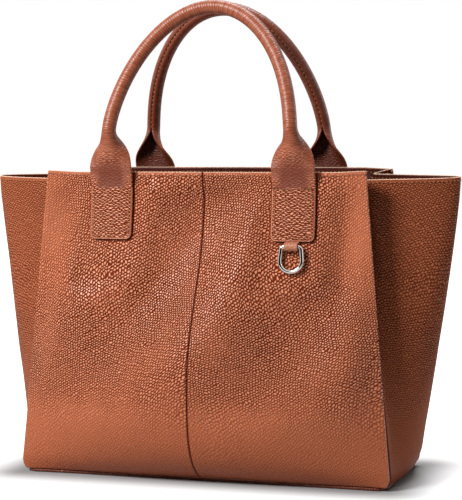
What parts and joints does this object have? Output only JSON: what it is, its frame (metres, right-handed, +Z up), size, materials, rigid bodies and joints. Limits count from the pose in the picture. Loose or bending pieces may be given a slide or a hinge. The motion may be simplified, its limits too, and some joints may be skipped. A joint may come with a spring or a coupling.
{
  "type": "tote bag",
  "caption": "Structured leather tote bag with side wings, two rolled handles that tilt outward and a hanging D-ring.",
  "frame": {"origin": "middle of the base on the floor", "axes": "+Z up, the front with the D-ring faces -Y, the side wings point along +X and -X"},
  "size_m": [0.425, 0.191, 0.4112],
  "materials": {
    "tan_leather": "pebbled, satin",
    "tab_leather": "pebbled, satin, folded edges",
    "lining_cloth": "matte woven",
    "interlining": "matte",
    "base_plastic": "matte",
    "cord_filler": "matte",
    "polished_metal": "polished"
  },
  "bodies": {
    "bag": {"back_facing": "tan_leather", "back_handle_left_tab": "tab_leather", "back_handle_right_tab": "tab_leather", "back_lining": "lining_cloth", "back_panel_left": "tan_leather", "back_panel_right": "tan_leather", "back_stiffener": "interlining", "base_board": "base_plastic", "base_lining": "lining_cloth", "base_panel": "tan_leather", "d_ring_keeper": "tab_leather", "front_facing": "tan_leather", "front_handle_left_tab": "tab_leather", "front_handle_right_tab": "tab_leather", "front_lining": "lining_cloth", "front_panel_left": "tan_leather", "front_panel_right": "tan_leather", "front_stiffener": "interlining", "left_gusset": "tan_leather", "left_gusset_facing": "tan_leather", "left_gusset_lining": "lining_cloth", "right_gusset": "tan_leather", "right_gusset_facing": "tan_leather", "right_gusset_lining": "lining_cloth"},
    "front_handle": {"front_handle": "tan_leather", "front_handle_core": "cord_filler"},
    "back_handle": {"back_handle": "tan_leather", "back_handle_core": "cord_filler"},
    "d_ring": {"d_ring": "polished_metal"}
  },
  "joints": [
    {"name": "front_handle_tilt", "type": "hinge", "parent": "bag", "child": "front_handle", "pos_m": [0, -0.05598, 0.25065], "axis": [1, 0, 0], "range_deg": [0, 135]},
    {"name": "back_handle_tilt", "type": "hinge", "parent": "bag", "child": "back_handle", "pos_m": [0, 0.05598, 0.25065], "axis": [-1, 0, 0], "range_deg": [0, 135]},
    {"name": "d_ring_swing", "type": "hinge", "parent": "bag", "child": "d_ring", "pos_m": [0.0815, -0.06295, 0.2019], "axis": [-1, 0, 0], "range_deg": [0, 81]}
  ]
}
